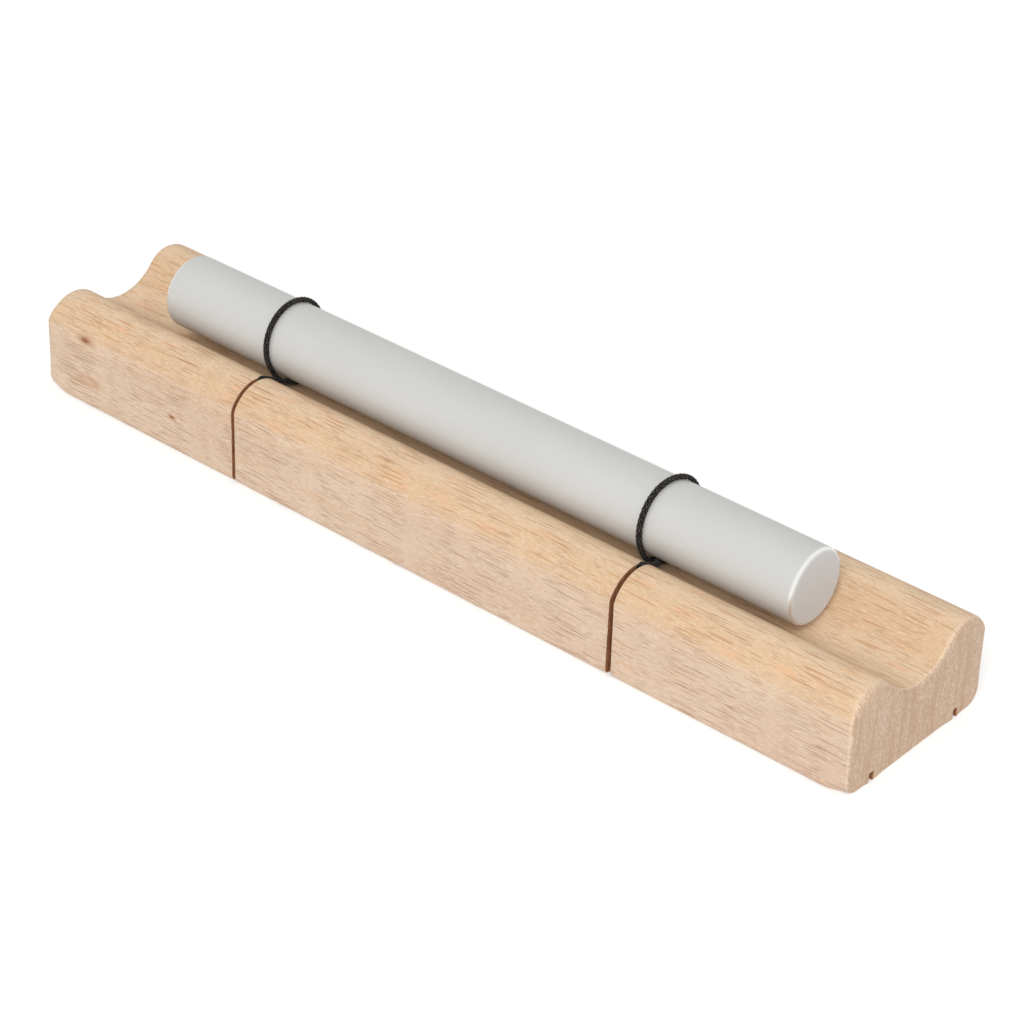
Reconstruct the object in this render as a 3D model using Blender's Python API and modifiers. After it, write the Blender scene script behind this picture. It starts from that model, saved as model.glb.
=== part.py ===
"""Energy chime: a round metal bar that hangs in an elastic cord over the trough of a wooden block.

Metres, +Z up. The origin is in the middle of the block's underside, +X runs along the bar, -Y is the front.
"""

import math

import bmesh
import bpy
from mathutils import Matrix, Vector

# Wooden block
BLOCK_LENGTH = 0.2010
BLOCK_WIDTH = 0.0400
CREST_HEIGHT = 0.0205
SHOULDER_DROP = 0.0046
TROUGH_DEPTH = 0.0063
CREST_INNER_RADIUS = 0.0062
BOTTOM_EDGE_RADIUS = 0.0014
END_EDGE_ROUND = 0.0009

# Metal bar
BAR_DIAMETER = 0.0150
BAR_LENGTH = 0.1560
BAR_EDGE_ROUND = 0.0009
BAR_SHIFT = -0.0007
CREST_CLEARANCE = 0.0058

# Elastic cord, with the slots and grooves that hold it
CORD_DIAMETER = 0.0011
CORD_GAP = 0.00012
CORD_FLOOR_CLEARANCE = 0.00025
SLOT_SPACING = 0.0950
SLOT_SHIFT = 0.00035
SLOT_WIDTH = 0.0010
SLOT_CORD_GAP = 0.0001
SLOT_INSET = 0.0006
SLOT_LEAD = 0.0016
NOTCH_DEPTH = 0.0008
GROOVE_WIDTH = 0.0012
GROOVE_DEPTH = 0.0020
GROOVE_BEND_RADIUS = 0.0006
GROOVE_TAPER = 0.0022
STRAND_GAP = 0.00055
STEP_STARTS = math.radians(-10)
FALL_STARTS = math.radians(50)
FALL_ENDS = math.radians(120)
LEFT_LOOP_REAR_SHIFT = 0.00315
LEFT_LOOP_TOP_SHIFT = 0.00315
LEFT_LOOP_FRONT_SHIFT = 0.00145
LEFT_LOOP_SHIFTED = math.radians(175)
RIGHT_LOOP_REAR_SHIFT = 0.0030
RIGHT_LOOP_TOP_SHIFT = 0.0039
RIGHT_LOOP_FRONT_SHIFT = 0.0039
RIGHT_LOOP_SHIFTED = math.radians(225)
STRETCH_GAP = 0.0003
KNOT_LENGTH = 0.0034
KNOT_DIAMETER = 0.0026
KNOT_CLEARANCE = 0.0004

# Shape of the knot, as shares of its length and radius: how full its ends are, and its waist
KNOT_FULLNESS = 0.4
KNOT_WAIST_WIDTH = 0.10
KNOT_WAIST_DEPTH = 0.14

# Fineness
ARC_STEP = math.radians(7.5)
EDGE_SEGMENTS = 3
LOOP_POINTS = 24
LOOP_RESOLUTION = 1
CORD_RESOLUTION = 2
BAR_SIDES = 96
POCKET_SIDES = 32
KNOT_STEPS = 16
KNOT_PROFILE_POINTS = 17
CUTTER_OVERHANG = 0.002
WELD_DISTANCE = 0.000001
FLAT_ANGLE = math.radians(1)
SMOOTH_ANGLE = math.radians(30)
BROKEN_EDGE_ANGLE = math.radians(60)

# Sizes that follow
HALF_WIDTH = BLOCK_WIDTH / 2
SHOULDER_HEIGHT = CREST_HEIGHT - SHOULDER_DROP
TROUGH_FLOOR = CREST_HEIGHT - TROUGH_DEPTH
BAR_RADIUS = BAR_DIAMETER / 2
CORD_RADIUS = CORD_DIAMETER / 2
CREST_OFFSET = BAR_RADIUS + CREST_CLEARANCE
LOOP_RADIUS = BAR_RADIUS + CORD_GAP + CORD_RADIUS
BAR_HEIGHT = TROUGH_FLOOR + CORD_FLOOR_CLEARANCE + CORD_RADIUS + LOOP_RADIUS
SLOT_CORD_RADIUS = SLOT_WIDTH / 2 - SLOT_CORD_GAP
GROOVE_CORD_RADIUS = GROOVE_WIDTH / 2 - SLOT_CORD_GAP
CORD_PLANE = CREST_OFFSET - SLOT_INSET
SLOT_FLOOR = CORD_PLANE - SLOT_WIDTH / 2
SLOT_X = {"left": SLOT_SHIFT - SLOT_SPACING / 2, "right": SLOT_SHIFT + SLOT_SPACING / 2}
GROOVE_CORD_HEIGHT = GROOVE_DEPTH - SLOT_CORD_GAP - GROOVE_CORD_RADIUS
POCKET_RADIUS = KNOT_LENGTH / 2 + KNOT_CLEARANCE
POCKET_DEPTH = GROOVE_CORD_HEIGHT + KNOT_DIAMETER / 2 + KNOT_CLEARANCE


def clear_scene():
    for obj in list(bpy.data.objects):
        bpy.data.objects.remove(obj)


def make_collection(name):
    collection = bpy.data.collections.new(name)
    bpy.context.scene.collection.children.link(collection)
    return collection


def make_material(name, colour, roughness, metallic=0.0):
    material = bpy.data.materials.new(name)
    material.use_nodes = True
    shader = material.node_tree.nodes["Principled BSDF"]
    shader.inputs["Base Color"].default_value = (*colour, 1.0)
    shader.inputs["Roughness"].default_value = roughness
    shader.inputs["Metallic"].default_value = metallic
    material.diffuse_color = (*colour, 1.0)
    return material


def arc(centre, radius, start, end):
    """Points of an arc from the angle start to the angle end, both included."""
    steps = max(2, math.ceil(abs(end - start) / ARC_STEP))
    angles = [start + (end - start) * i / steps for i in range(steps + 1)]
    return [(centre[0] + radius * math.cos(a), centre[1] + radius * math.sin(a)) for a in angles]


def block_outline():
    """The block's cross-section, as (y, z) points.

    The outer crest is an arc from the shoulder that ends level at the crest line. The trough is an arc that
    runs into the inner crest, so the line through their centres gives the wall's slope where they meet.
    """
    reach = HALF_WIDTH - CREST_OFFSET
    outer_radius = (reach**2 + SHOULDER_DROP**2) / (2 * SHOULDER_DROP)
    outer_centre = (CREST_OFFSET, CREST_HEIGHT - outer_radius)
    shoulder_angle = math.atan2(SHOULDER_HEIGHT - outer_centre[1], reach)

    centre_distance = (CREST_OFFSET**2 + TROUGH_DEPTH**2) / (2 * TROUGH_DEPTH)
    trough_radius = centre_distance - CREST_INNER_RADIUS
    wall_slope = math.atan2(CREST_OFFSET, centre_distance - TROUGH_DEPTH)
    inner_centre = (CREST_OFFSET, CREST_HEIGHT - CREST_INNER_RADIUS)
    trough_centre = (0.0, TROUGH_FLOOR + trough_radius)

    level = math.pi / 2
    corner = (HALF_WIDTH - BOTTOM_EDGE_RADIUS, BOTTOM_EDGE_RADIUS)
    half = arc(corner, BOTTOM_EDGE_RADIUS, -level, 0)
    half += arc(outer_centre, outer_radius, shoulder_angle, level)
    half += arc(inner_centre, CREST_INNER_RADIUS, level, level + wall_slope)[1:]
    half += arc(trough_centre, trough_radius, wall_slope - level, -level)[1:]
    return half + [(-y, z) for y, z in reversed(half[:-1])]


def solid_from_outline(name, outline, length):
    """A mesh object from a flat outline in the YZ plane, with its thickness along X."""
    curve = bpy.data.curves.new(name, "CURVE")
    curve.dimensions = "2D"
    curve.fill_mode = "BOTH"
    curve.extrude = length / 2
    spline = curve.splines.new("POLY")
    spline.points.add(len(outline) - 1)
    for point, (y, z) in zip(spline.points, outline):
        point.co = (y, z, 0.0, 1.0)
    spline.use_cyclic_u = True
    drawn = bpy.data.objects.new(name + "_outline", curve)
    drawn.rotation_euler = (math.pi / 2, 0.0, math.pi / 2)
    bpy.context.scene.collection.objects.link(drawn)
    bpy.context.view_layer.update()

    evaluated = drawn.evaluated_get(bpy.context.evaluated_depsgraph_get())
    mesh = bpy.data.meshes.new_from_object(evaluated)
    mesh.transform(drawn.matrix_world)
    bpy.data.objects.remove(drawn)
    shape = bmesh.new()
    shape.from_mesh(mesh)
    bmesh.ops.remove_doubles(shape, verts=shape.verts, dist=WELD_DISTANCE)
    bmesh.ops.dissolve_limit(shape, angle_limit=FLAT_ANGLE, verts=shape.verts, edges=shape.edges)
    bmesh.ops.recalc_face_normals(shape, faces=shape.faces)
    shape.to_mesh(mesh)
    shape.free()
    mesh.name = name
    return bpy.data.objects.new(name, mesh)


def finish(obj, collection, material, parent=None):
    """Links a part, gives it its material and shades its round faces smooth."""
    collection.objects.link(obj)
    obj.data.materials.append(material)
    obj.parent = parent
    if obj.type == "MESH":
        obj.data.shade_smooth()
        obj.data.set_sharp_from_angle(angle=SMOOTH_ANGLE)


def break_edges(obj, width):
    modifier = obj.modifiers.new("broken edges", "BEVEL")
    modifier.width = width
    modifier.segments = EDGE_SEGMENTS
    modifier.limit_method = "ANGLE"
    modifier.angle_limit = BROKEN_EDGE_ANGLE


def box_cutter(name, low, high, collection):
    bpy.ops.mesh.primitive_cube_add(size=1)
    cutter = bpy.context.object
    size = [b - a for a, b in zip(low, high)]
    cutter.data.transform(Matrix.Diagonal((*size, 1.0)))
    cutter.location = [(a + b) / 2 for a, b in zip(low, high)]
    return as_cutter(cutter, name, collection)


def as_cutter(cutter, name, collection):
    cutter.name = name
    for owner in list(cutter.users_collection):
        owner.objects.unlink(cutter)
    collection.objects.link(cutter)
    cutter.hide_render = True
    cutter.display_type = "WIRE"
    return cutter


def slot_outline(side):
    """The cut for a slot, as (y, z) points, with side +1 at the rear.

    It runs in from the side over the whole height, and slopes down over the crest as a notch for the cord.
    """
    below = SLOT_WIDTH / 2 / math.cos(span_slope())
    outside = HALF_WIDTH + CUTTER_OVERHANG
    above = CREST_HEIGHT + CUTTER_OVERHANG
    corners = [
        (SLOT_FLOOR, -CUTTER_OVERHANG),
        (outside, -CUTTER_OVERHANG),
        (outside, above),
        (BAR_RADIUS, above),
        (BAR_RADIUS, span_height(BAR_RADIUS) - below),
        (SLOT_FLOOR, span_height(SLOT_FLOOR) - below),
    ]
    return [(side * y, z) for y, z in corners]


def block_cutters(collection):
    """Four slots from the sides, two grooves along the underside and the pocket for the knot."""
    cutters = []
    for end, x in SLOT_X.items():
        for face, side in (("front", -1), ("rear", 1)):
            name = f"{end}_{face}_slot"
            slot = solid_from_outline(name, slot_outline(side), SLOT_WIDTH)
            slot.location.x = x
            cutters.append(as_cutter(slot, name, collection))
    for face, side in (("front", -1), ("rear", 1)):
        middle = side * CORD_PLANE
        low = (-BLOCK_LENGTH / 2 - CUTTER_OVERHANG, middle - GROOVE_WIDTH / 2, -CUTTER_OVERHANG)
        high = (BLOCK_LENGTH / 2 + CUTTER_OVERHANG, middle + GROOVE_WIDTH / 2, GROOVE_DEPTH)
        cutters.append(box_cutter(f"{face}_groove", low, high, collection))
    bpy.ops.mesh.primitive_cylinder_add(
        vertices=POCKET_SIDES,
        radius=POCKET_RADIUS,
        depth=POCKET_DEPTH + CUTTER_OVERHANG,
        location=(0, CORD_PLANE, (POCKET_DEPTH - CUTTER_OVERHANG) / 2),
    )
    cutters.append(as_cutter(bpy.context.object, "knot_pocket", collection))
    return cutters


def make_block(parts, cutters, material):
    block = solid_from_outline("wood_base", block_outline(), BLOCK_LENGTH)
    finish(block, parts, material)
    break_edges(block, END_EDGE_ROUND)
    for cutter in block_cutters(cutters):
        cut = block.modifiers.new(cutter.name, "BOOLEAN")
        cut.operation = "DIFFERENCE"
        cut.solver = "EXACT"
        cut.object = cutter


def make_bar(parts, material, carrier):
    bpy.ops.mesh.primitive_cylinder_add(vertices=BAR_SIDES, radius=BAR_RADIUS, depth=BAR_LENGTH)
    bar = bpy.context.object
    for owner in list(bar.users_collection):
        owner.objects.unlink(bar)
    bar.name = "chime_bar"
    bar.rotation_euler = (0.0, math.pi / 2, 0.0)
    finish(bar, parts, material, carrier)
    break_edges(bar, BAR_EDGE_ROUND)


def make_tube(name, points, radii, resolution, parts, material, parent=None):
    """A cord stretch: one tube along the points, with its own radius at each of them."""
    curve = bpy.data.curves.new(name, "CURVE")
    curve.dimensions = "3D"
    curve.bevel_depth = CORD_RADIUS
    curve.bevel_resolution = resolution
    curve.use_fill_caps = True
    spline = curve.splines.new("POLY")
    spline.points.add(len(points) - 1)
    for point, place, radius in zip(spline.points, points, radii):
        point.co = (*place, 1.0)
        point.radius = radius / CORD_RADIUS
    finish(bpy.data.objects.new(name, curve), parts, material, parent)


def span_slope():
    """The angle of the taut cord between the bar and a crest.

    Its line touches the loop's circle from below, and from above a circle about the middle of the crest's arc
    that leaves the cord sunk into the crest by the depth of the notch.
    """
    crest = Vector((-CREST_OFFSET, CREST_HEIGHT - CREST_INNER_RADIUS))
    bar = Vector((0.0, BAR_HEIGHT))
    crest_radius = CREST_INNER_RADIUS + CORD_GAP + CORD_RADIUS - NOTCH_DEPTH
    between = bar - crest
    turn = math.asin((LOOP_RADIUS + crest_radius) / between.length)
    return turn - math.atan2(between.y, between.x)


def span_height(reach):
    """Height of the taut cord's middle at a distance from the block's middle plane."""
    slope = span_slope()
    leaves_bar = Vector((LOOP_RADIUS * math.sin(slope), BAR_HEIGHT - LOOP_RADIUS * math.cos(slope)))
    return leaves_bar.y + (reach - leaves_bar.x) * math.tan(slope)


def span_points():
    """The front span in the YZ plane: up the slot, over its upper end, then straight down to the bar.

    Returns the points and the cord's radius at each. It is squeezed in the slot and swells below the notch.
    """
    slope = span_slope()
    bend_radius = SLOT_WIDTH / 2
    bend_z = span_height(SLOT_FLOOR) - bend_radius / math.cos(slope)
    bend = arc((-SLOT_FLOOR, bend_z), bend_radius, math.pi, math.pi / 2 - slope)
    notch_mouth = BAR_RADIUS + CORD_RADIUS
    end = LOOP_RADIUS * math.sin(slope) + (CORD_DIAMETER + STRETCH_GAP) * math.cos(slope)
    points = [(-CORD_PLANE, slot_top() + STRETCH_GAP)] + bend
    points += [(-reach, span_height(reach)) for reach in (notch_mouth, end)]
    return points, [SLOT_CORD_RADIUS] * (len(points) - 1) + [CORD_RADIUS]


def slot_top():
    """Height at which the stretch in a slot ends and the span begins, just below the crest."""
    return CREST_HEIGHT - SLOT_LEAD


def make_spans(parts, material):
    points, radii = span_points()
    for end, x in SLOT_X.items():
        for face, side in (("front", 1), ("rear", -1)):
            path = [(x, side * y, z) for y, z in points]
            make_tube(f"{end}_{face}_cord_span", path, radii, CORD_RESOLUTION, parts, material)


def ease(share):
    """A smooth step from 0 to 1."""
    share = min(1.0, max(0.0, share))
    return share * share * (3 - 2 * share)


def loop_points(slot_x, rear_shift, top_shift, front_shift, shifted):
    """One turn of cord round the bar, from the front span to the rear span, about the bar's axis.

    The angle is zero under the bar and grows towards the rear. The cord steps to +X under the bar, falls back
    up the rear to rear_shift on the -X side and goes on to top_shift at the angle shifted. It comes down the
    front to front_shift and returns to the slot as it goes under again, so the two strands under the bar lie
    side by side.
    """
    slope = span_slope()
    step = CORD_DIAMETER + STRAND_GAP
    step_length = slope - STEP_STARTS
    full = 2 * math.pi
    last = full + slope
    steps = math.ceil((last + slope) / full * LOOP_POINTS)
    points = []
    for i in range(steps + 1):
        angle = -slope + (last + slope) * i / steps
        out = ease((angle - STEP_STARTS) / step_length)
        fall = ease((angle - FALL_STARTS) / (FALL_ENDS - FALL_STARTS))
        across = ease((angle - FALL_ENDS) / (shifted - FALL_ENDS))
        down = min(1.0, max(0.0, (angle - shifted) / (full - slope - shifted))) ** 2
        back = ease((angle - full - STEP_STARTS) / step_length)
        shift = step * out - (step + rear_shift) * fall - (top_shift - rear_shift) * across
        shift += (top_shift - front_shift) * down + front_shift * back
        y = LOOP_RADIUS * math.sin(angle)
        z = -LOOP_RADIUS * math.cos(angle)
        points.append(Vector((slot_x + shift, y, z)))
    lead = CORD_DIAMETER * Vector((0.0, math.cos(slope), math.sin(slope)))
    front_lead = Vector((0.0, -lead.y, lead.z))
    return [points[0] + front_lead] + points + [points[-1] + lead]


def least_gap(points, diameter):
    """The least clear distance between stretches of a winding that lie half a turn or more apart."""
    parts_per_segment = 4
    fine = []
    for a, b in zip(points, points[1:]):
        fine += [a.lerp(b, i / parts_per_segment) for i in range(parts_per_segment)]
    fine.append(points[-1])
    apart = LOOP_POINTS // 2 * parts_per_segment
    distances = [(p - q).length for i, p in enumerate(fine) for q in fine[i + apart :]]
    return min(distances) - diameter


def make_loops(parts, material, carrier):
    left = LEFT_LOOP_REAR_SHIFT, LEFT_LOOP_TOP_SHIFT, LEFT_LOOP_FRONT_SHIFT, LEFT_LOOP_SHIFTED
    right = RIGHT_LOOP_REAR_SHIFT, RIGHT_LOOP_TOP_SHIFT, RIGHT_LOOP_FRONT_SHIFT, RIGHT_LOOP_SHIFTED
    for end, course in (("left", left), ("right", right)):
        name = f"{end}_cord_loop"
        points = loop_points(SLOT_X[end] - BAR_SHIFT, *course)
        make_tube(name, points, [CORD_RADIUS] * len(points), LOOP_RESOLUTION, parts, material, carrier)
        print(f"{name}: least gap to itself {least_gap(points, CORD_DIAMETER) * 1000:.2f} mm")


def run_corner(x, side):
    """The bend from a slot into a groove, as (x, z) points, with side +1 for the slot at +X."""
    centre = (x - side * GROOVE_BEND_RADIUS, GROOVE_CORD_HEIGHT + GROOVE_BEND_RADIUS)
    bend = arc((0.0, 0.0), GROOVE_BEND_RADIUS, 0.0, -math.pi / 2)
    return [(centre[0] + side * u, centre[1] + v) for u, v in bend]


def make_runs(parts, material):
    """The stretches in the slots and grooves. The front run is whole, the rear one stops at the knot."""
    halves = {}
    for end, side in (("left", -1), ("right", 1)):
        bend = run_corner(SLOT_X[end], side)
        tapered = (bend[-1][0] - side * GROOVE_TAPER, GROOVE_CORD_HEIGHT)
        path = [(SLOT_X[end], slot_top())] + bend + [tapered]
        halves[end] = path, [SLOT_CORD_RADIUS] * (len(path) - 1) + [GROOVE_CORD_RADIUS]
    left, left_radii = halves["left"]
    right, right_radii = halves["right"]
    front = [(x, -CORD_PLANE, z) for x, z in left + right[::-1]]
    make_tube("front_cord_run", front, left_radii + right_radii[::-1], CORD_RESOLUTION, parts, material)
    knot_end = KNOT_LENGTH / 2 + STRETCH_GAP
    for end, side in (("left", -1), ("right", 1)):
        path, radii = halves[end]
        rear = [(x, CORD_PLANE, z) for x, z in path + [(side * knot_end, GROOVE_CORD_HEIGHT)]]
        rear_radii = radii + [GROOVE_CORD_RADIUS]
        make_tube(f"rear_{end}_cord_run", rear, rear_radii, CORD_RESOLUTION, parts, material)


def make_knot(parts, material):
    """The knot that closes the cord: a turned form with two wraps and a waist between them."""
    last = KNOT_PROFILE_POINTS - 1
    profile = []
    for i in range(KNOT_PROFILE_POINTS):
        share = i / last
        swell = math.sin(math.pi * share) ** KNOT_FULLNESS if 0 < i < last else 0.0
        waist = 1 - KNOT_WAIST_DEPTH * math.exp(-(((share - 0.5) / KNOT_WAIST_WIDTH) ** 2))
        profile.append((KNOT_DIAMETER / 2 * swell * waist, 0.0, KNOT_LENGTH * (0.5 - share)))
    mesh = bpy.data.meshes.new("cord_knot")
    mesh.from_pydata(profile, [(i, i + 1) for i in range(last)], [])
    knot = bpy.data.objects.new("cord_knot", mesh)
    knot.location = (0.0, CORD_PLANE, GROOVE_CORD_HEIGHT)
    knot.rotation_euler = (0.0, math.pi / 2, 0.0)
    turned = knot.modifiers.new("turned", "SCREW")
    turned.steps = KNOT_STEPS
    turned.render_steps = KNOT_STEPS
    turned.use_merge_vertices = True
    turned.merge_threshold = WELD_DISTANCE
    finish(knot, parts, material)


def main():
    clear_scene()
    parts = make_collection("energy_chime")
    cutters = make_collection("cutters")
    wood = make_material("beech", (0.72, 0.52, 0.37), 0.55)
    metal = make_material("satin aluminium", (0.64, 0.63, 0.61), 0.35, 1.0)
    elastic = make_material("black elastic", (0.03, 0.028, 0.026), 0.75)

    carrier = bpy.data.objects.new("bar_axis", None)
    carrier.location = (BAR_SHIFT, 0.0, BAR_HEIGHT)
    parts.objects.link(carrier)

    make_block(parts, cutters, wood)
    make_bar(parts, metal, carrier)
    make_loops(parts, elastic, carrier)
    make_spans(parts, elastic)
    make_runs(parts, elastic)
    make_knot(parts, elastic)


main()
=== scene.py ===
import math

import bpy
import numpy as np
from mathutils import Matrix, Vector


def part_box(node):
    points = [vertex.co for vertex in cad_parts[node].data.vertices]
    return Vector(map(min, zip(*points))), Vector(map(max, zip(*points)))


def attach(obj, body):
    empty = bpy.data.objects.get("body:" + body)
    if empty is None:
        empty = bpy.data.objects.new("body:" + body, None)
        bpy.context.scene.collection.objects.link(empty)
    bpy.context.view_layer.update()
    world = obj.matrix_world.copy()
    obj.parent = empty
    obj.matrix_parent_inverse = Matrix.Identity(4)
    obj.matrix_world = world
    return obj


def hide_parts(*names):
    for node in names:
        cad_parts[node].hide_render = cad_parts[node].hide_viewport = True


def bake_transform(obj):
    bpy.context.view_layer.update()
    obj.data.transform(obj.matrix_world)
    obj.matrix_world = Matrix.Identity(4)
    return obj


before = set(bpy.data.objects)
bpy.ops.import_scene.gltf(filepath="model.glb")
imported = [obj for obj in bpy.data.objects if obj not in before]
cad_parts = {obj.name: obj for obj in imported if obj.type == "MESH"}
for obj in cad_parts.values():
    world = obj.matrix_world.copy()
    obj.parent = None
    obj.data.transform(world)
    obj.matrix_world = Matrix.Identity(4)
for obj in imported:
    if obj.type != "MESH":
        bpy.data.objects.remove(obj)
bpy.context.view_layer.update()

mm = 0.001
quarterTurn = math.pi / 2
fullTurn = 2 * math.pi


# Camera at the photograph's viewing angle: turned about Z, tilted down, rolled and shifted in its own plane

camera = {
    "azimuth": math.radians(40.05),
    "elevation": math.radians(32.4),
    "roll": math.radians(2.0),
    "distance": 594.73 * mm,
    "shiftRight": 5.87 * mm,
    "shiftUp": 4.02 * mm,
    "focalPixels": 3101.96,
    "imagePixels": 1024,
    "sensor": 36.0,
    "clip": (0.01, 20.0),
}


def makeCamera(s):
    # back points from the object to the camera; level and upright span the picture before it is rolled
    a, e, roll = s["azimuth"], s["elevation"], s["roll"]
    back = Vector((math.sin(a) * math.cos(e), -math.cos(a) * math.cos(e), math.sin(e)))
    level = Vector((math.cos(a), math.sin(a), 0.0))
    upright = back.cross(level)
    right = level * math.cos(roll) + upright * math.sin(roll)
    up = upright * math.cos(roll) - level * math.sin(roll)
    data = bpy.data.cameras.new("photoCamera")
    data.sensor_width = s["sensor"]
    data.lens = s["sensor"] * s["focalPixels"] / s["imagePixels"]
    data.clip_start, data.clip_end = s["clip"]
    obj = bpy.data.objects.new("photoCamera", data)
    turn = Matrix((right, up, back)).transposed().to_4x4()
    place = back * s["distance"] + right * s["shiftRight"] + up * s["shiftUp"]
    obj.matrix_world = Matrix.Translation(place) @ turn
    bpy.context.scene.collection.objects.link(obj)
    bpy.context.scene.camera = obj
    print(f"camera: lens {data.lens:.2f} mm")


makeCamera(camera)


# Places taken from the frame

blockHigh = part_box("wood_base")[1]
barLow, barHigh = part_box("chime_bar")
runLow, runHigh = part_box("front_cord_run")
barRadius = (barHigh.z - barLow.z) / 2
barHeight = (barHigh.z + barLow.z) / 2
halfLength = blockHigh.x
halfWidth = blockHigh.y
crestHeight = blockHigh.z
cordPlane = -(runLow.y + runHigh.y) / 2    # y of the cord in the wood at the rear, negated at the front
slotTop = runHigh.z
slotX = {
    end: sum(corner.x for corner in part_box(f"{end}_front_cord_span")) / 2
    for end in ("left", "right")
}


# Helpers for shapes

def ease(share):
    # smooth step: 3 t^2 - 2 t^3, with t held between 0 and 1
    share = np.clip(share, 0, 1)
    return share * share * (3 - 2 * share)


def circleAngles(count):
    return np.linspace(0, fullTurn, count, endpoint=False)


def linePoints(start, end, count):
    # count points from start to end, the end left out
    share = np.arange(count)[:, None] / count
    return np.asarray(start) * (1 - share) + np.asarray(end) * share


def arcPoints(centre, radius, start, end, count):
    # centre + radius * (cos, sin) at count angles from start to end, the end left out
    angle = start + (end - start) * np.arange(count) / count
    return np.stack([centre[0] + radius * np.cos(angle), centre[1] + radius * np.sin(angle)], axis=1)


def tubeFaces(rows, columns):
    # quads of a grid of points, one row after another, whose last column joins its first
    row = np.arange(rows - 1)[:, None] * columns
    column = np.arange(columns)[None, :]
    after = (column + 1) % columns
    corners = (row + column, row + after, row + columns + after, row + columns + column)
    return np.stack(np.broadcast_arrays(*corners), axis=-1).reshape(-1, 4)


def cappedTube(rows, columns):
    # the same as a list of faces, with one face at each end
    first = np.arange(columns)
    last = (rows - 1) * columns + first
    return tubeFaces(rows, columns).tolist() + [first[::-1].tolist(), last.tolist()]


def newPiece(name, points, faces):
    mesh = bpy.data.meshes.new(name)
    mesh.from_pydata(np.asarray(points).reshape(-1, 3).tolist(), [], faces)
    mesh.validate()
    obj = bpy.data.objects.new(name, mesh)
    bpy.context.scene.collection.objects.link(obj)
    return obj


def shadeSmooth(obj, sharpFrom):
    obj.data.shade_smooth()
    obj.data.set_sharp_from_angle(angle=sharpFrom)


# Helpers for materials

def newMaterial(name):
    material = bpy.data.materials.new(name)
    material.use_nodes = True
    return material, material.node_tree, material.node_tree.nodes["Principled BSDF"]


def put(tree, socket, value):
    if isinstance(value, bpy.types.NodeSocket):
        tree.links.new(value, socket)
    elif value is not None:
        socket.default_value = value


def calc(tree, operation, first, second=None, third=None):
    node = tree.nodes.new("ShaderNodeMath")
    node.operation = operation
    for socket, value in zip(node.inputs, (first, second, third)):
        put(tree, socket, value)
    return node.outputs[0]


def between(tree, value, low, high, fromOut=0.0, toOut=1.0):
    # a smooth step from fromOut to toOut as value goes from low to high
    node = tree.nodes.new("ShaderNodeMapRange")
    node.interpolation_type = "SMOOTHSTEP"
    given = {"Value": value, "From Min": low, "From Max": high, "To Min": fromOut, "To Max": toOut}
    for name, setting in given.items():
        put(tree, node.inputs[name], setting)
    return node.outputs["Result"]


def mixed(tree, share, first, second):
    node = tree.nodes.new("ShaderNodeMix")
    node.data_type = "RGBA"
    put(tree, node.inputs[0], share)
    for socket, colour in zip(node.inputs[6:8], (first, second)):
        put(tree, socket, colour if isinstance(colour, bpy.types.NodeSocket) else (*colour, 1.0))
    return node.outputs[2]


def bumped(tree, shader, height, distance, strength):
    node = tree.nodes.new("ShaderNodeBump")
    node.inputs["Strength"].default_value = strength
    node.inputs["Distance"].default_value = distance
    put(tree, node.inputs["Height"], height)
    tree.links.new(node.outputs["Normal"], shader.inputs["Normal"])


def splitUp(tree, vector):
    node = tree.nodes.new("ShaderNodeSeparateXYZ")
    tree.links.new(vector, node.inputs[0])
    return node.outputs


def objectPlace(tree):
    return tree.nodes.new("ShaderNodeTexCoord").outputs["Object"]


def objectNormal(tree):
    # the three parts of the surface's direction in the piece's own frame
    return splitUp(tree, tree.nodes.new("ShaderNodeTexCoord").outputs["Normal"])


def lengthOf(tree, vector):
    node = tree.nodes.new("ShaderNodeVectorMath")
    node.operation = "LENGTH"
    tree.links.new(vector, node.inputs[0])
    return node.outputs["Value"]


def mapped(tree, place, size, shift=(0, 0, 0), turn=(0, 0, 0)):
    # places divided by a cell size in metres, so one unit of texture is one cell
    node = tree.nodes.new("ShaderNodeMapping")
    put(tree, node.inputs["Vector"], place)
    node.inputs["Scale"].default_value = [1 / length for length in size]
    node.inputs["Rotation"].default_value = turn
    node.inputs["Location"].default_value = shift
    return node.outputs[0]


def noiseNode(tree, place, pattern, turn=(0, 0, 0)):
    # a pattern is the size of its cells, its detail and its roughness
    cell, detail, roughness = pattern
    node = tree.nodes.new("ShaderNodeTexNoise")
    put(tree, node.inputs["Vector"], mapped(tree, place, cell, turn=turn))
    node.inputs["Scale"].default_value = 1.0
    node.inputs["Detail"].default_value = detail
    node.inputs["Roughness"].default_value = roughness
    return node


def noise(tree, place, pattern, turn=(0, 0, 0)):
    return noiseNode(tree, place, pattern, turn).outputs["Fac"]


# Beech: pale brown, with fine dark rays on the sides, broader orange ones on top and speckled end grain

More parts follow.
